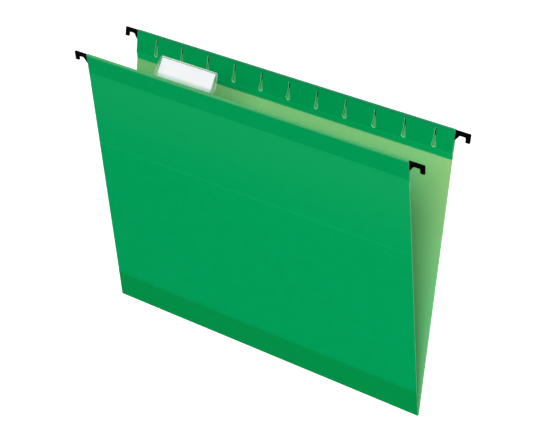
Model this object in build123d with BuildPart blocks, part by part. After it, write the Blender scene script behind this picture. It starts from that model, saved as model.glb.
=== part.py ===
import os
from math import cos, radians, sin, sqrt

from build123d import *

os.makedirs("parts", exist_ok=True)

# Card sheet, each half leaning out from the upright; heights run up from the bottom fold
panel_width = 298.45
folder_height = 235.0
card = 0.3
lean = 7.566
fold_radius = 0.6
hem_height = 24.0
hem_glue = 2.0
hem_slope = 3.5
score_drop = 81.5
score_width = 0.9
score_depth = 0.1

# Reinforcing film on the card
film = 0.1
top_strip_height = 16.0
top_strip_wrap = 0.6
bottom_strip_height = 25.0

# Row of tab slots in each hem, with margins to the left and right seen from outside
slot_count = 11
slot_left_margin = 16.0
slot_right_margin = 20.4
slot_top = 3.3
slot_length = 14.7
slot_top_width = 1.1
slot_waist_width = 1.6
slot_waist_rise = 7.0
slot_bottom_width = 3.8

# Steel rods, with a pierced tongue at each end
rod_thickness = 1.0
rod_height = 7.5
rod_clearance = 0.15
tongue_height = 2.3
lock_width = 1.6
lock_height = 0.9

# Hooks
rail_offset = 6.35
hook_thickness = 1.8
hook_skin = 0.6
hook_gap = 0.3
notch_width = 5.1
nose_width = 3.8
nose_depth = 3.8
nose_draft = 0.2
gusset_depth = 4.4
gusset_corner = 1.5
hook_corner = 0.5
notch_corner = 0.5
hook_edge = 0.25

# Tab, in two slots of the front hem, and its insert
tab_first_slot = 2
tab_slots_spanned = 2
tab_sheet = 0.3
tab_stand = 0.9
tab_lean = 38.0
tab_knee_drop = 1.05
tab_seal = 0.3
tab_top_corner = 0.5
tab_base_overhang = 1.2
tab_top_overhang = 0.7
ear_reach = 3.1
ear_level = 3.8
ear_tuck = 1.0
ear_corner = 2.0
foot_height = 5.0
foot_reach = 2.6
foot_neck = 0.8
foot_clearance = 0.35
insert_thickness = 0.3
insert_height = 14.6
insert_side_margin = 0.6
insert_top_gap = 0.8
insert_clearance = 0.15

# Heights on one half, and distances inward from its inner face
fold_outside = fold_radius + card + film
panel_height = folder_height - fold_outside
sleeve_gap = rod_thickness + 2 * rod_clearance
sleeve_middle = sleeve_gap / 2
roll_level = panel_height - sleeve_middle - card
hem_face = sleeve_gap + card
hem_bottom = panel_height - hem_height
hem_flat_top = hem_bottom + hem_glue
hem_bend = hem_flat_top + hem_slope
film_face = -card - film
top_strip_bottom = panel_height - top_strip_height
film_end = roll_level - top_strip_wrap

# Slots, counted from the left as seen from outside
slot_pitch = (panel_width - slot_left_margin - slot_right_margin) / (slot_count - 1)
slot_row_center = (slot_left_margin - slot_right_margin) / 2
slot_top_center = panel_height - slot_top - slot_top_width / 2
slot_bottom_center = panel_height - slot_top - slot_length + slot_bottom_width / 2
slot_waist = panel_height - slot_top - slot_length + slot_waist_rise

# Rods and hooks
rod_top = roll_level - rod_clearance
rod_bottom = rod_top - rod_height
card_edge = panel_width / 2
hook_root = card_edge + hook_gap
hook_top = rod_top + hook_skin
seat_level = rod_top - tongue_height - hook_skin
rail_center = card_edge + rail_offset
notch_inner = rail_center - notch_width / 2
notch_outer = rail_center + notch_width / 2
nose_bottom = seat_level - nose_depth
hook_tip = notch_outer + nose_width
tongue_tip = hook_tip - hook_skin

# The origin is midway between the four rail seats, so the fold's axis lies below it
lean_sin = sin(radians(lean))
lean_cos = cos(radians(lean))
fold_level = -seat_level * lean_cos - (sleeve_middle - fold_radius) * lean_sin
foot_offset = fold_radius * lean_cos
foot_level = fold_level - fold_radius * lean_sin

# Each half has a section plane, inward and up, and a face plane, seen from outside
front_foot = (0, -foot_offset, foot_level)
front_section = Plane(origin=front_foot, x_dir=(0, lean_cos, lean_sin), z_dir=(1, 0, 0))
front_face = Plane(origin=front_foot, x_dir=(1, 0, 0), z_dir=(0, -lean_cos, -lean_sin))
rear_foot = (0, foot_offset, foot_level)
rear_section = Plane(origin=rear_foot, x_dir=(0, -lean_cos, lean_sin), z_dir=(-1, 0, 0))
rear_face = Plane(origin=rear_foot, x_dir=(-1, 0, 0), z_dir=(0, lean_cos, -lean_sin))


# One half of the card sheet: its top rolled over the rod, glued down inside, and slotted
def make_panel(section, face, scored):
    with BuildPart() as panel:
        with BuildSketch(section):
            with BuildLine():
                Polyline((0, 0), (-card, 0), (-card, roll_level))
                ThreePointArc((-card, roll_level), (sleeve_middle, panel_height), (hem_face, roll_level))
                Polyline(
                    (hem_face, roll_level),
                    (hem_face, hem_bend),
                    (card, hem_flat_top),
                    (card, hem_bottom),
                    (0, hem_bottom),
                    (0, 0),
                )
            make_face()
            with BuildLine():
                ThreePointArc((0, roll_level), (sleeve_middle, panel_height - card), (sleeve_gap, roll_level))
                Polyline((sleeve_gap, roll_level), (sleeve_gap, hem_bend), (0, hem_flat_top), (0, roll_level))
            make_face(mode=Mode.SUBTRACT)
        extrude(amount=panel_width / 2, both=True)
        with BuildSketch(face.offset(-sleeve_gap - card / 2)):
            with BuildSketch(mode=Mode.PRIVATE) as slit:
                with Locations((0, slot_top_center)):
                    Circle(slot_top_width / 2)
                with Locations((0, slot_waist)):
                    Circle(slot_waist_width / 2)
                make_hull()
            with BuildSketch(mode=Mode.PRIVATE) as drop:
                with Locations((0, slot_waist)):
                    Circle(slot_waist_width / 2)
                with Locations((0, slot_bottom_center)):
                    Circle(slot_bottom_width / 2)
                make_hull()
            with Locations((slot_row_center, 0)):
                with GridLocations(slot_pitch, 0, slot_count, 1):
                    add(slit.sketch)
                    add(drop.sketch)
        extrude(amount=card, both=True, mode=Mode.SUBTRACT)
        if scored:
            with BuildSketch(face.offset(card)):
                with Locations((0, panel_height - score_drop)):
                    Rectangle(panel_width, score_width)
            extrude(amount=-score_depth, mode=Mode.SUBTRACT)
    return panel


# A thin film over the rolled top, from the outer face to just inside
def make_top_strip(section):
    with BuildPart() as strip:
        with BuildSketch(section):
            with BuildLine():
                Polyline(
                    (-card, roll_level),
                    (-card, top_strip_bottom),
                    (film_face, top_strip_bottom),
                    (film_face, roll_level),
                )
                ThreePointArc(
                    (film_face, roll_level),
                    (sleeve_middle, panel_height + film),
                    (hem_face + film, roll_level),
                )
                Polyline(
                    (hem_face + film, roll_level),
                    (hem_face + film, film_end),
                    (hem_face, film_end),
                    (hem_face, roll_level),
                )
                ThreePointArc((hem_face, roll_level), (sleeve_middle, panel_height), (-card, roll_level))
            make_face()
        extrude(amount=panel_width / 2, both=True)
    return strip


# A thin film along the bottom of the outer face
def make_bottom_strip(section):
    with BuildPart() as strip:
        with BuildSketch(section):
            with Locations((-card - film / 2, bottom_strip_height / 2)):
                Rectangle(film, bottom_strip_height)
        extrude(amount=panel_width / 2, both=True)
    return strip


# A flat steel rod with a pierced tongue at each end for the hook to be moulded on
def make_rod(face):
    with BuildPart() as rod:
        with BuildSketch(face.offset(-sleeve_middle)):
            with Locations((0, rod_top - rod_height / 2)):
                Rectangle(2 * hook_root, rod_height)
            with Locations((0, rod_top - tongue_height / 2)):
                Rectangle(2 * tongue_tip, tongue_height)
                with GridLocations(2 * rail_center, 0, 2, 1):
                    Rectangle(lock_width, lock_height, mode=Mode.SUBTRACT)
        extrude(amount=rod_thickness / 2, both=True)
    return rod


# A nylon hook moulded around the rod's tongue; side is 1 for the right seen from outside, -1 for the left
def make_hook(face, side, rod):
    with BuildPart() as hook:
        with BuildSketch(face.offset(-sleeve_middle)):
            with BuildLine():
                FilletPolyline(
                    (side * hook_root, hook_top),
                    (side * hook_tip, hook_top),
                    (side * hook_tip, nose_bottom),
                    (side * (notch_outer + nose_draft), nose_bottom),
                    (side * notch_outer, seat_level),
                    (side * notch_inner, seat_level),
                    (side * hook_root, seat_level - gusset_depth),
                    radius=[0, hook_corner, hook_corner, hook_corner, notch_corner, gusset_corner, 0],
                    close=True,
                )
            make_face()
        extrude(amount=hook_thickness / 2, both=True)
        broad_faces = faces().sort_by(Axis(face.origin, face.z_dir))
        chamfer(broad_faces[0].edges() + broad_faces[-1].edges(), length=hook_edge)
        add(rod.part, mode=Mode.SUBTRACT)
    return hook


# Both halves of the sheet and what is fixed to them
halves = {"front": (front_section, front_face), "rear": (rear_section, rear_face)}
for name, (section, face) in halves.items():
    panel = make_panel(section, face, scored=name == "front")
    top_strip = make_top_strip(section)
    bottom_strip = make_bottom_strip(section)
    rod = make_rod(face)
    left_side = -1 if name == "front" else 1
    pieces = {
        "panel": panel,
        "top_strip": top_strip,
        "bottom_strip": bottom_strip,
        "rod": rod,
        "left_hook": make_hook(face, left_side, rod),
        "right_hook": make_hook(face, -left_side, rod),
    }
    for piece_name, piece in pieces.items():
        piece.part.label = f"{name}_{piece_name}"
        export_step(piece.part, f"parts/{name}_{piece_name}.step")

# The bent strip of card and film between the two halves, round the axis the folder opens on
with BuildPart() as bottom_fold:
    with BuildSketch(Plane.YZ):
        with BuildLine():
            inside = CenterArc((0, fold_level), fold_radius, 180 + lean, 180 - 2 * lean)
            outside = CenterArc((0, fold_level), fold_outside, 180 + lean, 180 - 2 * lean)
            Line(inside @ 0, outside @ 0)
            Line(inside @ 1, outside @ 1)
        make_face()
    extrude(amount=panel_width / 2, both=True)
bottom_fold.part.label = "bottom_fold"
export_step(bottom_fold.part, "parts/bottom_fold.step")

# Places of the tab: its base stands off the front hem, and its pocket leans back from a knee
tab_center = slot_row_center + (tab_first_slot + tab_slots_spanned / 2 - (slot_count - 1) / 2) * slot_pitch
foot_center = tab_slots_spanned * slot_pitch / 2
base_near = hem_face + tab_stand
base_far = base_near + tab_sheet
slot_floor = slot_bottom_center - sqrt((slot_bottom_width / 2) ** 2 - (foot_neck / 2) ** 2)
foot_bottom = slot_floor + foot_clearance
foot_middle = foot_bottom + foot_height / 2
knee_level = panel_height - tab_knee_drop
pocket_gap = insert_thickness + 2 * insert_clearance
pocket_height = insert_clearance + insert_height + insert_top_gap
pocket_depth = pocket_gap + 2 * tab_sheet
pocket_middle = tab_seal + pocket_height / 2
insert_middle = tab_seal + insert_clearance + insert_height / 2
window_height = tab_seal + pocket_height + tab_sheet
ear_half = foot_center + ear_reach
top_half = foot_center + tab_top_overhang

bend = radians(tab_lean)
bend_middle = (base_far - tab_sheet * cos(bend / 2), knee_level + tab_sheet * sin(bend / 2))
bend_end = (base_far - tab_sheet * cos(bend), knee_level + tab_sheet * sin(bend))
tilt = radians(tab_lean - lean)
tab_section = front_section.offset(tab_center)
knee_point = tab_section.from_local_coords((base_far, knee_level))
window_section = Plane(origin=knee_point, x_dir=(0, cos(tilt), -sin(tilt)), z_dir=(1, 0, 0))
window_face = Plane(origin=knee_point, x_dir=(1, 0, 0), z_dir=(0, -cos(tilt), sin(tilt)))

# Clear tab: a folded pocket with flared ears, a base, and two feet that turn outward behind the hem
with BuildPart() as tab_holder:
    with BuildSketch(window_section):
        with Locations((-pocket_depth / 2, window_height / 2)):
            Rectangle(pocket_depth, window_height)
        fillet(vertices().group_by(Axis.Y)[-1], radius=tab_top_corner)
        with Locations((-pocket_depth / 2, pocket_middle)):
            Rectangle(pocket_gap, pocket_height, mode=Mode.SUBTRACT)
    extrude(amount=ear_half, both=True)
    with BuildSketch(window_face):
        with BuildLine():
            FilletPolyline(
                (-ear_half + ear_tuck, 0),
                (-ear_half, ear_level),
                (-top_half, window_height),
                (top_half, window_height),
                (ear_half, ear_level),
                (ear_half - ear_tuck, 0),
                radius=[0, ear_corner, ear_corner, ear_corner, ear_corner, 0],
                close=True,
            )
        make_face()
    extrude(amount=pocket_depth, mode=Mode.INTERSECT)
    with BuildSketch(tab_section):
        with BuildLine():
            Polyline(
                (base_near, knee_level),
                (base_near, foot_bottom),
                (base_far, foot_bottom),
                (base_far, knee_level),
                bend_end,
            )
            ThreePointArc(bend_end, bend_middle, (base_near, knee_level))
        make_face()
    extrude(amount=foot_center + tab_base_overhang, both=True)
    for side in (-1, 1):
        with BuildSketch(tab_section.offset(side * foot_center)):
            with Locations(((foot_clearance + base_far) / 2, foot_middle)):
                Rectangle(base_far - foot_clearance, foot_height)
        extrude(amount=foot_neck / 2, both=True)
        with BuildSketch(tab_section.offset(side * foot_center)):
            with Locations((foot_clearance + tab_sheet / 2, foot_middle)):
                Rectangle(tab_sheet, foot_height)
        extrude(amount=side * (foot_neck / 2 + foot_reach))
tab_holder.part.label = "tab_holder"
export_step(tab_holder.part, "parts/tab_holder.step")

with BuildPart() as tab_insert:
    with BuildSketch(window_section):
        with Locations((-pocket_depth / 2, insert_middle)):
            Rectangle(insert_thickness, insert_height)
    extrude(amount=foot_center - insert_side_margin, both=True)
tab_insert.part.label = "tab_insert"
export_step(tab_insert.part, "parts/tab_insert.step")

seat_offset = seat_level * lean_sin - (sleeve_middle - fold_radius) * lean_cos
foot_travel = rod_bottom - foot_clearance - foot_bottom - foot_height
print("Rail seats at x", round(rail_center, 4), "and y", round(seat_offset, 4), "either side")
print("Fold axis at z", round(fold_level, 4), "and tab travel", round(foot_travel, 3))
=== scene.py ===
from math import cos, pi, radians, sin

import bmesh
import bpy
from mathutils import Matrix, Vector


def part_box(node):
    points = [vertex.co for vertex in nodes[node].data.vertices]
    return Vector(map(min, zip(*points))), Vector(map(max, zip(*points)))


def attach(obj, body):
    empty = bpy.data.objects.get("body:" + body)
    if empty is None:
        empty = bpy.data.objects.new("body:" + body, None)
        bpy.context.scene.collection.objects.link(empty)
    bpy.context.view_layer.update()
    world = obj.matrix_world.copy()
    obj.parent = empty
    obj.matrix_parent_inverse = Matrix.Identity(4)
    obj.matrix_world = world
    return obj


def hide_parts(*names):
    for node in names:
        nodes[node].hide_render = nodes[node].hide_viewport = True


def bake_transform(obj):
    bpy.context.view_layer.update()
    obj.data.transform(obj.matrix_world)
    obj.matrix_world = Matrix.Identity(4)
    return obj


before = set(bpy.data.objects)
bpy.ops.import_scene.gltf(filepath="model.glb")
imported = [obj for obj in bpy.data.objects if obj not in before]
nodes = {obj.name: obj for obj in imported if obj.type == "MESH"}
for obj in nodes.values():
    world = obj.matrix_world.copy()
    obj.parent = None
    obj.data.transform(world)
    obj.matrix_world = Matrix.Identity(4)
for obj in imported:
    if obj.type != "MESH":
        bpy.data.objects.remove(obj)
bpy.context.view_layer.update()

# Sizes of the card sheet in metres, as in the solids
mm = 0.001
panel_width = 298.45 * mm
folder_height = 235.0 * mm
card = 0.3 * mm
film = 0.1 * mm
lean = radians(7.566)
tab_tilt = radians(38.0) - lean
fold_radius = 0.6 * mm
sleeve_gap = 1.3 * mm
hem_height = 24.0 * mm
hem_glue = 2.0 * mm
hem_slope = 3.5 * mm
score_drop = 81.5 * mm
score_width = 0.9 * mm
score_depth = 0.1 * mm
slot_count = 11
slot_left_margin = 16.0 * mm
slot_right_margin = 20.4 * mm
slot_top = 3.3 * mm
slot_length = 14.7 * mm
slot_top_width = 1.1 * mm
slot_waist_width = 1.6 * mm
slot_waist_rise = 7.0 * mm
slot_bottom_width = 3.8 * mm
slot_rim = 0.12 * mm
bottom_strip_height = 25.0 * mm
fold_level = -228.0042 * mm

# Sizes that follow from these, with heights up a leaf counted from the fold's axis
fold_outside = fold_radius + card + film
panel_height = folder_height - fold_outside
panel_end = panel_width / 2
sleeve_middle = sleeve_gap / 2
roll_level = panel_height - sleeve_middle - card
hem_bottom = panel_height - hem_height
hem_flat_top = hem_bottom + hem_glue
hem_bend = hem_flat_top + hem_slope
score_level = panel_height - score_drop
slot_pitch = (panel_width - slot_left_margin - slot_right_margin) / (slot_count - 1)
slot_top_center = panel_height - slot_top - slot_top_width / 2
slot_bottom_center = panel_height - slot_top - slot_length + slot_bottom_width / 2
slot_waist = panel_height - slot_top - slot_length + slot_waist_rise

# How finely round shapes are drawn, and the distances within which points count as one or as level
punch_sides = 32
roll_steps = 12
crease_sides = 48
smooth_angle = radians(30)
merge_gap = 0.001 * mm
level_gap = 0.01 * mm

# Places of the finishes on a leaf, of which the crease has the first three, and on the tab
back_slot = 1
edge_slot = 2
film_slot = 3
score_slot = 4
tab_sheet_slot = 0
tab_edge_slot = 1


# Level in the frame of a height up a leaning leaf
def leaf_level(height):
    return fold_level + height * cos(lean)


sleeve_foot = leaf_level(hem_bend)
label_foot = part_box("tab_insert")[0][2]


# Colours are written as sRGB hex values
def linear(hex_color):
    channels = [int(hex_color[i:i + 2], 16) / 255 for i in (1, 3, 5)]
    return [c / 12.92 if c <= 0.04045 else ((c + 0.055) / 1.055) ** 2.4 for c in channels] + [1.0]


def add_node(material, kind, inputs, **settings):
    node = material.node_tree.nodes.new(kind)
    for name, value in settings.items():
        setattr(node, name, value)
    for name, value in inputs.items():
        if isinstance(value, bpy.types.NodeSocket):
            material.node_tree.links.new(value, node.inputs[name])
        else:
            node.inputs[name].default_value = value
    return node


def new_material(name):
    material = bpy.data.materials.new(name)
    material.use_nodes = True
    return material, material.node_tree.nodes["Principled BSDF"]


def link(material, source, shader, socket):
    material.node_tree.links.new(source, shader.inputs[socket])


# Tints of the coating and the size of its clouds, and the specular level of coating, film and
# nylon, which show next to no gloss
coating_dark = linear("#009250")
coating_light = linear("#009A57")
coating_cloud = 9 * mm
faint_gloss = 0.004


# Coated card: an even dull green, faintly clouded where the fibres show through the coating,
# with painted light that makes it paler towards the top, where the top light gives it a sheen
def make_green_card():
    sheen_start = leaf_level(panel_height) - 95 * mm
    sheen_end = leaf_level(panel_height) - 20 * mm
    fibre_length = 1.2 * mm
    material, shader = new_material("coated green card")
    place = add_node(material, "ShaderNodeTexCoord", {})
    clouds = add_node(material, "ShaderNodeTexNoise", {
        "Vector": place.outputs["Object"], "Scale": 1 / coating_cloud,
        "Detail": 4.0, "Roughness": 0.6})
    own_tint = add_node(material, "ShaderNodeMix", {
        "Factor": clouds.outputs["Fac"], "A": coating_dark, "B": coating_light},
        data_type="RGBA")
    height = add_node(material, "ShaderNodeSeparateXYZ", {"Vector": place.outputs["Object"]})
    # Painted sheen: the upper part of the face is mixed towards a paler green, as light makes it
    # look
    painted_sheen = add_node(material, "ShaderNodeMapRange", {
        "Value": height.outputs["Z"], "From Min": sheen_start, "From Max": sheen_end,
        "To Max": 0.6}, interpolation_type="SMOOTHSTEP")
    tint = add_node(material, "ShaderNodeMix", {
        "Factor": painted_sheen.outputs["Result"], "A": own_tint.outputs["Result"],
        "B": linear("#129A58")}, data_type="RGBA")
    fibre = add_node(material, "ShaderNodeTexNoise", {
        "Vector": place.outputs["Object"], "Scale": 1 / fibre_length, "Detail": 3.0})
    bump = add_node(material, "ShaderNodeBump", {
        "Height": fibre.outputs["Fac"], "Strength": 0.25, "Distance": 0.05 * mm})
    link(material, tint.outputs["Result"], shader, "Base Color")
    link(material, bump.outputs["Normal"], shader, "Normal")
    shader.inputs["Roughness"].default_value = 0.55
    shader.inputs["Specular IOR Level"].default_value = faint_gloss
    return material


# Bare back of the card: a paler, dull green with fine fibres that show as a faint fleck,
# with painted light that makes it paler and yellower at the open top and at the open right end,
# painted shade that darkens it at the end with the tab, and a deeper painted shade inside the
# sleeve
def make_bare_card():
    fibre_length = 1.5 * mm
    upper_start = sleeve_foot - 130 * mm
    upper_end = sleeve_foot - 20 * mm
    top_start = sleeve_foot - 40 * mm
    top_end = sleeve_foot - 10 * mm
    lit_width = 40 * mm
    shade_width = 40 * mm
    shade_core = 15 * mm
    sleeve_shade_edge = 1 * mm
    material, shader = new_material("bare green card back")
    place = add_node(material, "ShaderNodeTexCoord", {})
    fibre = add_node(material, "ShaderNodeTexNoise", {
        "Vector": place.outputs["Object"], "Scale": 1 / fibre_length,
        "Detail": 4.0, "Roughness": 0.7})
    fleck_tint = add_node(material, "ShaderNodeMix", {
        "Factor": fibre.outputs["Fac"], "A": linear("#66BA76"), "B": linear("#74C583")},
        data_type="RGBA")
    spot = add_node(material, "ShaderNodeSeparateXYZ", {"Vector": place.outputs["Object"]})
    # Painted light: the open right end and the open top are mixed towards a paler, yellower green,
    # as if lit there
    open_end = add_node(material, "ShaderNodeMapRange", {
        "Value": spot.outputs["X"],
        "From Min": panel_end - lit_width, "From Max": panel_end})
    upper_half = add_node(material, "ShaderNodeMapRange", {
        "Value": spot.outputs["Z"], "From Min": upper_start, "From Max": upper_end})
    open_top = add_node(material, "ShaderNodeMapRange", {
        "Value": spot.outputs["Z"], "From Min": top_start, "From Max": top_end, "To Max": 0.5})
    corner = add_node(material, "ShaderNodeMath", {
        0: open_end.outputs["Result"], 1: upper_half.outputs["Result"]}, operation="MULTIPLY")
    painted_light = add_node(material, "ShaderNodeMath", {
        0: corner.outputs[0], 1: open_top.outputs["Result"]}, operation="MAXIMUM")
    painted_light_tint = add_node(material, "ShaderNodeMix", {
        "Factor": painted_light.outputs[0], "A": fleck_tint.outputs["Result"],
        "B": linear("#8CBC77")}, data_type="RGBA")
    # Painted shade: the upper card at the end with the tab is darkened towards a shaded green
    tab_end = add_node(material, "ShaderNodeMapRange", {
        "Value": spot.outputs["X"], "From Min": shade_width - panel_end,
        "From Max": shade_core - panel_end, "To Max": 0.75})
    painted_shade = add_node(material, "ShaderNodeMath", {
        0: tab_end.outputs["Result"], 1: upper_half.outputs["Result"]}, operation="MULTIPLY")
    painted_shade_tint = add_node(material, "ShaderNodeMix", {
        "Factor": painted_shade.outputs[0], "A": painted_light_tint.outputs["Result"],
        "B": linear("#64A664")}, data_type="RGBA")
    # Painted shade: inside the sleeve the card is mixed to a deeper green, as it is in shade there
    painted_sleeve_shade = add_node(material, "ShaderNodeMapRange", {
        "Value": spot.outputs["Z"],
        "From Min": sleeve_foot - sleeve_shade_edge, "From Max": sleeve_foot + sleeve_shade_edge})
    tint = add_node(material, "ShaderNodeMix", {
        "Factor": painted_sleeve_shade.outputs["Result"], "A": painted_shade_tint.outputs["Result"],
        "B": linear("#4FAA6E")}, data_type="RGBA")
    bump = add_node(material, "ShaderNodeBump", {
        "Height": fibre.outputs["Fac"], "Strength": 0.3, "Distance": 0.06 * mm})
    link(material, tint.outputs["Result"], shader, "Base Color")
    link(material, bump.outputs["Normal"], shader, "Normal")
    shader.inputs["Roughness"].default_value = 0.85
    shader.inputs["Specular IOR Level"].default_value = 0.05
    return material


# Cut edge of the card: the dyed fibrous core, dry and much paler than the coating
def make_cut_card():
    fibre_length = 0.8 * mm
    material, shader = new_material("cut card edge")
    place = add_node(material, "ShaderNodeTexCoord", {})
    fibre = add_node(material, "ShaderNodeTexNoise", {
        "Vector": place.outputs["Object"], "Scale": 1 / fibre_length, "Detail": 3.0})
    tint = add_node(material, "ShaderNodeMix", {
        "Factor": fibre.outputs["Fac"], "A": linear("#84EEA8"), "B": linear("#A2F8BA")},
        data_type="RGBA")
    link(material, tint.outputs["Result"], shader, "Base Color")
    shader.inputs["Roughness"].default_value = 0.9
    shader.inputs["Specular IOR Level"].default_value = 0.1
    return material


# Scored card: the coating is stretched along the crease, which leaves a slightly lighter line
def make_scored_card():
    break_length = 2.5 * mm
    material, shader = new_material("scored green card")
    place = add_node(material, "ShaderNodeTexCoord", {})
    breaks = add_node(material, "ShaderNodeTexNoise", {
        "Vector": place.outputs["Object"], "Scale": 1 / break_length, "Detail": 3.0})
    tint = add_node(material, "ShaderNodeMix", {
        "Factor": breaks.outputs["Fac"], "A": linear("#039957"), "B": linear("#12A060")},
        data_type="RGBA")
    link(material, tint.outputs["Result"], shader, "Base Color")
    shader.inputs["Roughness"].default_value = 0.6
    shader.inputs["Specular IOR Level"].default_value = faint_gloss
    return material


# Film laminated on the card: a deeper, smoother green than the coating, with a painted highlight
# on the outer side of the roll, painted shade on its top and inner side, and painted light that
# makes it a little paler below the sleeve, where the hem slopes down to its glue line into shade
def make_film():
    cloud = 14 * mm
    crest_level = leaf_level(roll_level)
    crest_depth = 1.2 * mm
    roll_reach = roll_level * sin(lean) + (fold_radius - sleeve_middle) * cos(lean)
    shaded_reach = roll_reach - 0.6 * mm
    highlight_reach = roll_reach + 0.2 * mm
    lift_edge = 0.6 * mm
    material, shader = new_material("green reinforcing film")
    place = add_node(material, "ShaderNodeTexCoord", {})
    clouds = add_node(material, "ShaderNodeTexNoise", {
        "Vector": place.outputs["Object"], "Scale": 1 / cloud, "Detail": 2.0})
    flat_tint = add_node(material, "ShaderNodeMix", {
        "Factor": clouds.outputs["Fac"], "A": linear("#008C4B"), "B": linear("#009250")},
        data_type="RGBA")
    spot = add_node(material, "ShaderNodeSeparateXYZ", {"Vector": place.outputs["Object"]})
    rolled = add_node(material, "ShaderNodeMapRange", {
        "Value": spot.outputs["Z"],
        "From Min": crest_level - crest_depth, "From Max": crest_level},
        interpolation_type="SMOOTHSTEP")
    reach = add_node(material, "ShaderNodeMath", {0: spot.outputs["Y"]}, operation="ABSOLUTE")
    outer = add_node(material, "ShaderNodeMapRange", {
        "Value": reach.outputs[0], "From Min": shaded_reach, "From Max": highlight_reach},
        interpolation_type="SMOOTHSTEP")
    # Painted highlight on the roll's outer side and painted shade on its top and inner side
    roll_tint = add_node(material, "ShaderNodeMix", {
        "Factor": outer.outputs["Result"], "A": linear("#1A7F52"), "B": linear("#41985E")},
        data_type="RGBA")
    # Painted light: the film on the hem's downward slope is made paler to cancel the shade it gets
    # there
    painted_hem_light = add_node(material, "ShaderNodeMapRange", {
        "Value": spot.outputs["Z"],
        "From Min": sleeve_foot + lift_edge, "From Max": sleeve_foot - lift_edge},
        interpolation_type="SMOOTHSTEP")
    hem_tint = add_node(material, "ShaderNodeMix", {
        "Factor": painted_hem_light.outputs["Result"], "A": flat_tint.outputs["Result"],
        "B": linear("#049E58")}, data_type="RGBA")
    tint = add_node(material, "ShaderNodeMix", {
        "Factor": rolled.outputs["Result"], "A": hem_tint.outputs["Result"],
        "B": roll_tint.outputs["Result"]}, data_type="RGBA")
    link(material, tint.outputs["Result"], shader, "Base Color")
    shader.inputs["Roughness"].default_value = 0.42
    shader.inputs["Specular IOR Level"].default_value = faint_gloss
    return material


# Film at the fold: the same, thinning out at its upper edge so that it fades into the card
def make_fading_film():
    film_edge = leaf_level(bottom_strip_height)
    fade_width = 4.5 * mm
    material, shader = new_material("green reinforcing film with a faded edge")
    place = add_node(material, "ShaderNodeTexCoord", {})
    height = add_node(material, "ShaderNodeSeparateXYZ", {"Vector": place.outputs["Object"]})
    fade = add_node(material, "ShaderNodeMapRange", {
        "Value": height.outputs["Z"], "From Min": film_edge - fade_width, "From Max": film_edge},
        interpolation_type="SMOOTHSTEP")
    clouds = add_node(material, "ShaderNodeTexNoise", {
        "Vector": place.outputs["Object"], "Scale": 1 / coating_cloud,
        "Detail": 4.0, "Roughness": 0.6})
    film_tint = add_node(material, "ShaderNodeMix", {
        "Factor": clouds.outputs["Fac"], "A": linear("#008640"), "B": linear("#008C46")},
        data_type="RGBA")
    card_tint = add_node(material, "ShaderNodeMix", {
        "Factor": clouds.outputs["Fac"], "A": coating_dark, "B": coating_light},
        data_type="RGBA")
    tint = add_node(material, "ShaderNodeMix", {
        "Factor": fade.outputs["Result"], "A": film_tint.outputs["Result"],
        "B": card_tint.outputs["Result"]}, data_type="RGBA")
    link(material, tint.outputs["Result"], shader, "Base Color")
    shader.inputs["Roughness"].default_value = 0.45
    shader.inputs["Specular IOR Level"].default_value = faint_gloss
    return material


# Moulded nylon: near black, with the fine dull grain of a spark-eroded mould,
# drawn coarser than the real tenth of a millimetre so that it shows
def make_nylon():
    grain_size = 0.6 * mm
    material, shader = new_material("black moulded nylon")
    place = add_node(material, "ShaderNodeTexCoord", {})
    grain = add_node(material, "ShaderNodeTexNoise", {
        "Vector": place.outputs["Object"], "Scale": 1 / grain_size, "Detail": 3.0})
    tint = add_node(material, "ShaderNodeMix", {
        "Factor": grain.outputs["Fac"], "A": linear("#020202"), "B": linear("#070607")},
        data_type="RGBA")
    bump = add_node(material, "ShaderNodeBump", {
        "Height": grain.outputs["Fac"], "Strength": 0.2, "Distance": 0.04 * mm})
    link(material, tint.outputs["Result"], shader, "Base Color")
    link(material, bump.outputs["Normal"], shader, "Normal")
    shader.inputs["Roughness"].default_value = 0.45
    shader.inputs["Specular IOR Level"].default_value = faint_gloss
    return material


# Rod in the sleeve: cold-rolled steel strip under a thin black lacquer, seen only through the
# slots, with the lacquer's mottle drawn coarser than it is so that it shows there
def make_steel():
    mottle_size = 1.5 * mm
    material, shader = new_material("black lacquered steel")
    place = add_node(material, "ShaderNodeTexCoord", {})
    mottle = add_node(material, "ShaderNodeTexNoise", {
        "Vector": place.outputs["Object"], "Scale": 1 / mottle_size, "Detail": 2.0})
    tint = add_node(material, "ShaderNodeMix", {
        "Factor": mottle.outputs["Fac"], "A": linear("#0A0B0A"), "B": linear("#121312")},
        data_type="RGBA")
    link(material, tint.outputs["Result"], shader, "Base Color")
    shader.inputs["Roughness"].default_value = 0.4
    return material


# Clear acetate sheet: water-clear and glossy, with the slight waviness of a cast sheet
def make_clear_acetate():
    wave_length = 12 * mm
    material, shader = new_material("clear acetate sheet")
    place = add_node(material, "ShaderNodeTexCoord", {})
    waves = add_node(material, "ShaderNodeTexNoise", {
        "Vector": place.outputs["Object"], "Scale": 1 / wave_length, "Detail": 1.0})
    bump = add_node(material, "ShaderNodeBump", {
        "Height": waves.outputs["Fac"], "Strength": 0.15, "Distance": 0.2 * mm})
    link(material, bump.outputs["Normal"], shader, "Normal")
    shader.inputs["Base Color"].default_value = linear("#FDFFFE")
    shader.inputs["Roughness"].default_value = 0.06
    shader.inputs["IOR"].default_value = 1.47
    shader.inputs["Transmission Weight"].default_value = 1.0
    return material


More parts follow.
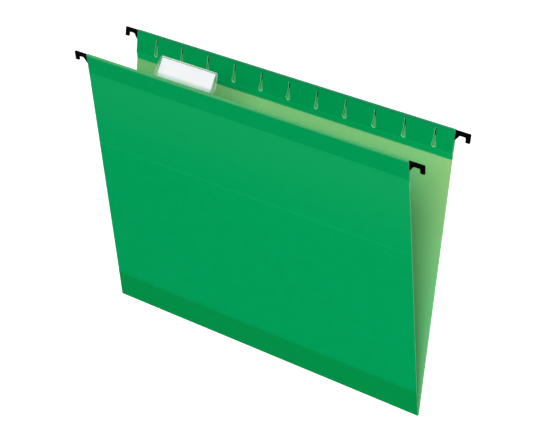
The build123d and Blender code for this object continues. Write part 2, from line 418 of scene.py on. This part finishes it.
# Edges of the acetate sheet, cut or creased: they gather the light and show as thin pale frosted
# lines, with the cutter's marks drawn coarser than they are so that they show
def make_acetate_edge():
    mark_size = 0.7 * mm
    material, shader = new_material("frosted edge of acetate sheet")
    place = add_node(material, "ShaderNodeTexCoord", {})
    marks = add_node(material, "ShaderNodeTexNoise", {
        "Vector": place.outputs["Object"], "Scale": 1 / mark_size, "Detail": 2.0})
    tint = add_node(material, "ShaderNodeMix", {
        "Factor": marks.outputs["Fac"], "A": linear("#CFE9D8"), "B": linear("#E6F6EC")},
        data_type="RGBA")
    link(material, tint.outputs["Result"], shader, "Base Color")
    shader.inputs["Roughness"].default_value = 0.35
    shader.inputs["Specular IOR Level"].default_value = 0.3
    return material


# Label card: smooth white bristol with a barely visible fleck, with painted shade and a painted
# green reflection of the folder along its foot, low in the pocket
def make_label_card():
    fibre_length = 1.0 * mm
    shade_start = label_foot + 0.5 * mm
    shade_end = label_foot + 3.6 * mm
    material, shader = new_material("white label card")
    place = add_node(material, "ShaderNodeTexCoord", {})
    fibre = add_node(material, "ShaderNodeTexNoise", {
        "Vector": place.outputs["Object"], "Scale": 1 / fibre_length, "Detail": 3.0})
    own_tint = add_node(material, "ShaderNodeMix", {
        "Factor": fibre.outputs["Fac"], "A": linear("#F8F7FC"), "B": linear("#FDFCFF")},
        data_type="RGBA")
    height = add_node(material, "ShaderNodeSeparateXYZ", {"Vector": place.outputs["Object"]})
    rise = add_node(material, "ShaderNodeMapRange", {
        "Value": height.outputs["Z"], "From Min": shade_start, "From Max": shade_end},
        interpolation_type="SMOOTHSTEP")
    # Painted shade and reflection: the label's foot is mixed towards a shaded, greenish grey
    tint = add_node(material, "ShaderNodeMix", {
        "Factor": rise.outputs["Result"], "A": linear("#BADCCB"),
        "B": own_tint.outputs["Result"]}, data_type="RGBA")
    link(material, tint.outputs["Result"], shader, "Base Color")
    shader.inputs["Roughness"].default_value = 0.8
    shader.inputs["Specular IOR Level"].default_value = 0.2
    return material


green_card = make_green_card()
bare_card = make_bare_card()
cut_card = make_cut_card()
scored_card = make_scored_card()
film_green = make_film()
fading_film = make_fading_film()
nylon = make_nylon()
steel = make_steel()
clear_acetate = make_clear_acetate()
acetate_edge = make_acetate_edge()
label_card = make_label_card()


def select_vertices(piece, wanted):
    bpy.ops.mesh.select_mode(type="VERT")
    bpy.ops.mesh.select_all(action="DESELECT")
    mesh = bmesh.from_edit_mesh(piece.data)
    for vertex in mesh.verts:
        vertex.select_set(wanted(vertex.co))
    bmesh.update_edit_mesh(piece.data)


def select_edges(piece, wanted):
    bpy.ops.mesh.select_mode(type="EDGE")
    bpy.ops.mesh.select_all(action="DESELECT")
    mesh = bmesh.from_edit_mesh(piece.data)
    for edge in mesh.edges:
        edge.select_set(wanted((edge.verts[0].co + edge.verts[1].co) / 2))
    bmesh.update_edit_mesh(piece.data)


def finish_faces(piece, slot, wanted):
    bpy.ops.mesh.select_mode(type="FACE")
    bpy.ops.mesh.select_all(action="DESELECT")
    mesh = bmesh.from_edit_mesh(piece.data)
    for face in mesh.faces:
        face.select_set(wanted(face.calc_center_median(), face.normal))
    bmesh.update_edit_mesh(piece.data)
    piece.active_material_index = slot
    bpy.ops.object.material_slot_assign()


def apply_modifier(piece, kind, **settings):
    modifier = piece.modifiers.new(kind.title(), kind)
    for name, value in settings.items():
        setattr(modifier, name, value)
    bpy.ops.object.modifier_apply(modifier=modifier.name)


# Teardrop punches for the slots: one is drawn from a circle to a slit with a waist,
# and the rest are copies
def make_slot_punches():
    bpy.ops.object.select_all(action="DESELECT")
    punch_place = slot_left_margin - panel_end
    punch_face = sleeve_gap - card / 2 - fold_radius
    punch_depth = 2 * card
    bpy.ops.mesh.primitive_circle_add(
        vertices=punch_sides, radius=slot_bottom_width / 2, fill_type="NGON",
        location=(punch_place, punch_face, slot_bottom_center),
        rotation=(pi / 2, pi / punch_sides, 0))
    punches = bpy.context.object
    bpy.ops.object.transform_apply()
    bpy.ops.object.mode_set(mode="EDIT")
    select_vertices(punches, lambda spot: spot.z > slot_bottom_center)
    shrink = slot_top_width / slot_bottom_width
    bpy.ops.transform.resize(
        value=(shrink, shrink, shrink),
        center_override=(punch_place, punch_face, slot_bottom_center))
    bpy.ops.transform.translate(value=(0, 0, slot_top_center - slot_bottom_center))
    flank_level = (slot_top_center + slot_bottom_center) / 2
    select_edges(punches, lambda middle: abs(middle.z - flank_level) < mm)
    bpy.ops.mesh.subdivide()
    select_vertices(punches, lambda spot: abs(spot.z - flank_level) < mm)
    flank_width = (slot_top_width + slot_bottom_width) / 2
    bpy.ops.transform.resize(
        value=(slot_waist_width / flank_width, 1, 1),
        center_override=(punch_place, punch_face, flank_level))
    bpy.ops.transform.translate(value=(0, 0, slot_waist - flank_level))
    bpy.ops.mesh.select_all(action="SELECT")
    bpy.ops.mesh.extrude_region_move(TRANSFORM_OT_translate={"value": (0, punch_depth, 0)})
    bpy.ops.mesh.select_all(action="SELECT")
    bpy.ops.mesh.normals_make_consistent(inside=False)
    bpy.ops.object.mode_set(mode="OBJECT")
    apply_modifier(
        punches, "ARRAY", count=slot_count, use_relative_offset=False,
        use_constant_offset=True, constant_offset_displace=(slot_pitch, 0, 0))
    punches.data.materials.append(cut_card)
    return punches


# Lines across a leaf where its score begins, is deepest and ends, pressed in at the middle one
def press_score(leaf):
    for level in (score_level - score_width / 2, score_level, score_level + score_width / 2):
        bpy.ops.mesh.select_all(action="SELECT")
        bpy.ops.mesh.bisect(plane_co=(0, 0, level), plane_no=(0, 0, 1))
    select_edges(leaf, lambda middle: abs(middle.x) < mm
                 and abs(middle.z - score_level) < level_gap)
    bpy.ops.transform.translate(value=(0, score_depth, 0))


# One leaf of the sheet, made upright over the fold's axis with its printed face to the front
def make_leaf(name, scored):
    bpy.ops.object.select_all(action="DESELECT")
    sheet_face = -fold_radius - card / 2
    bpy.ops.mesh.primitive_plane_add(
        size=1, location=(0, sheet_face, 0), rotation=(pi / 2, 0, 0))
    leaf = bpy.context.object
    leaf.name = name
    leaf.data.name = name
    bpy.ops.object.transform_apply()
    bpy.ops.object.mode_set(mode="EDIT")
    bpy.ops.mesh.select_mode(type="EDGE")
    bpy.ops.transform.resize(value=(panel_width, 1, roll_level))
    bpy.ops.transform.translate(value=(0, 0, roll_level / 2))
    if scored:
        press_score(leaf)
    select_edges(leaf, lambda middle: middle.z > roll_level - level_gap)
    bpy.ops.mesh.spin(
        steps=roll_steps, angle=pi, axis=(1, 0, 0),
        center=(0, sleeve_middle - fold_radius, roll_level))
    for step in ((0, 0, hem_bend - roll_level), (0, -sleeve_gap, -hem_slope), (0, 0, -hem_glue)):
        bpy.ops.mesh.extrude_region_move(TRANSFORM_OT_translate={"value": step})
    bpy.ops.mesh.select_all(action="SELECT")
    bpy.ops.mesh.remove_doubles(threshold=merge_gap)
    bpy.ops.object.mode_set(mode="OBJECT")
    for material in (green_card, bare_card, cut_card, film_green, scored_card):
        leaf.data.materials.append(material)
    apply_modifier(
        leaf, "SOLIDIFY", thickness=card, offset=0, use_even_offset=True,
        material_offset=back_slot, material_offset_rim=edge_slot)
    bpy.ops.object.mode_set(mode="EDIT")
    finish_faces(leaf, film_slot, lambda middle, normal: normal.y > 0.5
                 and middle.z > hem_bottom and middle.y > card / 2 - fold_radius)
    if scored:
        finish_faces(leaf, score_slot, lambda middle, normal: normal.y < -0.5
                     and abs(middle.z - score_level) < score_width / 2)
    bpy.ops.object.mode_set(mode="OBJECT")
    return leaf


# The edges where the slots' walls meet the face of the hem
def select_slot_rims(leaf):
    bpy.ops.mesh.select_mode(type="EDGE")
    bpy.ops.mesh.select_all(action="DESELECT")
    mesh = bmesh.from_edit_mesh(leaf.data)
    for edge in mesh.edges:
        sides = [face.normal.y for face in edge.link_faces
                 if face.calc_center_median().z > hem_bend]
        edge.select_set(len(sides) == 2 and max(sides) > 0.9 and abs(min(sides)) < 0.1
                        and abs(edge.verts[0].co.x) < panel_end - mm)
    bmesh.update_edit_mesh(leaf.data)


# Punches the slots through the hem, worn a little at their rims,
# then leans the leaf and sets it on the fold
def place_leaf(leaf, turn):
    punches = make_slot_punches()
    bpy.ops.object.select_all(action="DESELECT")
    bpy.context.view_layer.objects.active = leaf
    leaf.select_set(True)
    apply_modifier(leaf, "BOOLEAN", operation="DIFFERENCE", solver="EXACT", object=punches)
    bpy.data.objects.remove(punches)
    bpy.ops.object.mode_set(mode="EDIT")
    select_slot_rims(leaf)
    bpy.ops.mesh.bevel(offset=slot_rim, segments=1, affect="EDGES", material=edge_slot)
    bpy.ops.mesh.select_all(action="SELECT")
    bpy.ops.transform.rotate(value=-lean, orient_axis="X", center_override=(0, 0, 0))
    bpy.ops.transform.rotate(value=turn, orient_axis="Z", center_override=(0, 0, 0))
    bpy.ops.transform.translate(value=(0, 0, fold_level))
    bpy.ops.object.mode_set(mode="OBJECT")
    bpy.ops.object.shade_smooth_by_angle(angle=smooth_angle)
    apply_modifier(leaf, "WEIGHTED_NORMAL", mode="FACE_AREA", weight=100, keep_sharp=True)


# The crease between the leaves: a tube round the fold's axis, cut down to the arc between them
def make_crease():
    bpy.ops.object.select_all(action="DESELECT")
    bpy.ops.mesh.primitive_cylinder_add(
        vertices=crease_sides, radius=fold_radius + (card + film) / 2, depth=panel_width,
        end_fill_type="NOTHING", location=(0, 0, fold_level), rotation=(0, pi / 2, 0))
    crease = bpy.context.object
    crease.name = "fold_crease"
    crease.data.name = "fold_crease"
    bpy.ops.object.transform_apply()
    bpy.ops.object.mode_set(mode="EDIT")
    for side in (-1, 1):
        bpy.ops.mesh.select_all(action="SELECT")
        bpy.ops.mesh.bisect(
            plane_co=(0, 0, fold_level), plane_no=(0, side * sin(lean), cos(lean)),
            clear_outer=True)
    bpy.ops.object.mode_set(mode="OBJECT")
    for material in (fading_film, bare_card, cut_card):
        crease.data.materials.append(material)
    apply_modifier(
        crease, "SOLIDIFY", thickness=card + film, offset=0, use_even_offset=True,
        material_offset=back_slot, material_offset_rim=edge_slot)
    bpy.ops.object.shade_smooth_by_angle(angle=smooth_angle)
    return crease


# The clear tab has its solid's shape, with a finish of their own on the sheet's cut edges and
# creases above the hem
def make_tab():
    bpy.ops.object.select_all(action="DESELECT")
    tab = bpy.data.objects.new("clear_tab", nodes["tab_holder"].data.copy())
    tab.data.name = "clear_tab"
    bpy.context.scene.collection.objects.link(tab)
    bpy.context.view_layer.objects.active = tab
    tab.select_set(True)
    tab.data.materials.clear()
    for material in (clear_acetate, acetate_edge):
        tab.data.materials.append(material)
    bpy.ops.object.mode_set(mode="EDIT")
    bpy.ops.mesh.select_all(action="SELECT")
    bpy.ops.mesh.remove_doubles(threshold=merge_gap)
    window_normal = Vector((0, -cos(tab_tilt), sin(tab_tilt)))
    knee_level = label_foot - mm
    finish_faces(tab, tab_sheet_slot, lambda middle, normal: True)
    finish_faces(tab, tab_edge_slot, lambda middle, normal: middle.z > knee_level
                 and abs(normal.dot(window_normal)) < 0.95)
    bpy.ops.object.mode_set(mode="OBJECT")
    bpy.ops.object.shade_flat()
    return tab


front_leaf = make_leaf("front_leaf", scored=True)
place_leaf(front_leaf, 0)
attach(front_leaf, "front")
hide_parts("front_panel")

rear_leaf = make_leaf("rear_leaf", scored=False)
place_leaf(rear_leaf, pi)
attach(rear_leaf, "rear")
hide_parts("rear_panel")

fold_crease = make_crease()
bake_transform(fold_crease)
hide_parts("bottom_fold")

clear_tab = make_tab()
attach(clear_tab, "tab")
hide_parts("tab_holder")

# Finishes of the solids that stay as they are
finishes = {
    film_green: ["front_top_strip", "rear_top_strip"],
    fading_film: ["front_bottom_strip", "rear_bottom_strip"],
    steel: ["front_rod", "rear_rod"],
    nylon: ["front_left_hook", "front_right_hook", "rear_left_hook", "rear_right_hook"],
    label_card: ["tab_insert"],
}
for finish, names in finishes.items():
    for name in names:
        nodes[name].material_slots[0].link = "OBJECT"
        nodes[name].material_slots[0].material = finish

# The studio in metres, with the level that the softboxes point at and their strengths
floor_level = -0.68
floor_side = 12
floor_lift = 0.72
softbox_side = 1.6
softbox_distance = 3.0
softbox_aim = Vector((0, 0, -0.1))
fill_strength = 0.3


# One where the camera looks, also through the clear tab or in a reflection,
# and nought for light on the folder
def seen_directly(material):
    path = add_node(material, "ShaderNodeLightPath", {})
    mirrored = add_node(material, "ShaderNodeMath", {
        0: path.outputs["Is Camera Ray"], 1: path.outputs["Is Glossy Ray"]},
        operation="MAXIMUM")
    shown = add_node(material, "ShaderNodeMath", {
        0: mirrored.outputs[0], 1: path.outputs["Is Transmission Ray"]}, operation="MAXIMUM")
    straight = add_node(material, "ShaderNodeMath", {
        0: path.outputs["Diffuse Depth"], 1: 0.5}, operation="LESS_THAN")
    return add_node(material, "ShaderNodeMath", {
        0: shown.outputs[0], 1: straight.outputs[0]}, operation="MULTIPLY").outputs[0]


# Pale floor well below the folder, lifted to white for the camera and keeping its shadow
def make_floor():
    material, shader = new_material("pale studio floor")
    shader.inputs["Base Color"].default_value = linear("#DCDCDC")
    shader.inputs["Roughness"].default_value = 0.9
    shader.inputs["Specular IOR Level"].default_value = 0.0
    shader.inputs["Emission Color"].default_value = linear("#FFFFFF")
    lift = add_node(material, "ShaderNodeMath", {
        0: seen_directly(material), 1: floor_lift}, operation="MULTIPLY")
    link(material, lift.outputs[0], shader, "Emission Strength")
    bpy.ops.object.select_all(action="DESELECT")
    bpy.ops.mesh.primitive_plane_add(size=floor_side, location=(0, 0, floor_level))
    floor = bpy.context.object
    floor.name = "floor"
    bpy.ops.object.transform_apply()
    floor.data.materials.append(material)


# A large square softbox, turned towards the folder from the given side and height in degrees
def add_softbox(name, azimuth, elevation, power):
    light = bpy.data.lights.new(name, "AREA")
    light.shape = "SQUARE"
    light.size = softbox_side
    light.energy = power
    side, height = radians(azimuth), radians(elevation)
    away = Vector((sin(side) * cos(height), -cos(side) * cos(height), sin(height)))
    softbox = bpy.data.objects.new(name, light)
    softbox.location = softbox_aim + softbox_distance * away
    softbox.rotation_euler = away.to_track_quat("Z", "Y").to_euler()
    bpy.context.scene.collection.objects.link(softbox)


# Even white surroundings, dimmer as a light than as a background
def make_surroundings():
    world = bpy.data.worlds.new("studio")
    bpy.context.scene.world = world
    world.use_nodes = True
    sky = world.node_tree.nodes["Background"]
    sky.inputs["Color"].default_value = linear("#FFFFFF")
    strength = add_node(world, "ShaderNodeMath", {
        0: seen_directly(world), 1: fill_strength}, operation="MAXIMUM")
    link(world, strength.outputs[0], sky, "Strength")


make_floor()
make_surroundings()
add_softbox("front_softbox", azimuth=19, elevation=42, power=73.0)
add_softbox("right_softbox", azimuth=40, elevation=42, power=14.0)
add_softbox("top_softbox", azimuth=30, elevation=85, power=28.0)
add_softbox("back_softbox", azimuth=180, elevation=50, power=28.0)

# Camera where the photograph was taken from, turned about a point at half the folder's height
view_azimuth = radians(36.423)
view_elevation = radians(29.034)
view_roll = radians(0.459)
view_height = 117.0 * mm
view_place = Vector((9.0 * mm, 4.14 * mm, 1414.5 * mm))
facing = (Matrix.Rotation(view_azimuth, 4, "Z")
          @ Matrix.Rotation(pi / 2 - view_elevation, 4, "X")
          @ Matrix.Rotation(view_roll, 4, "Z"))
aim = Vector((0, 0, fold_level - fold_outside + view_height))
camera = bpy.data.objects.new("camera", bpy.data.cameras.new("camera"))
camera.matrix_world = Matrix.Translation(aim) @ facing @ Matrix.Translation(view_place)
camera.data.sensor_width = 36
camera.data.lens = 118.85
bpy.context.scene.collection.objects.link(camera)
bpy.context.scene.camera = camera
bpy.context.scene.view_settings.view_transform = "Standard"
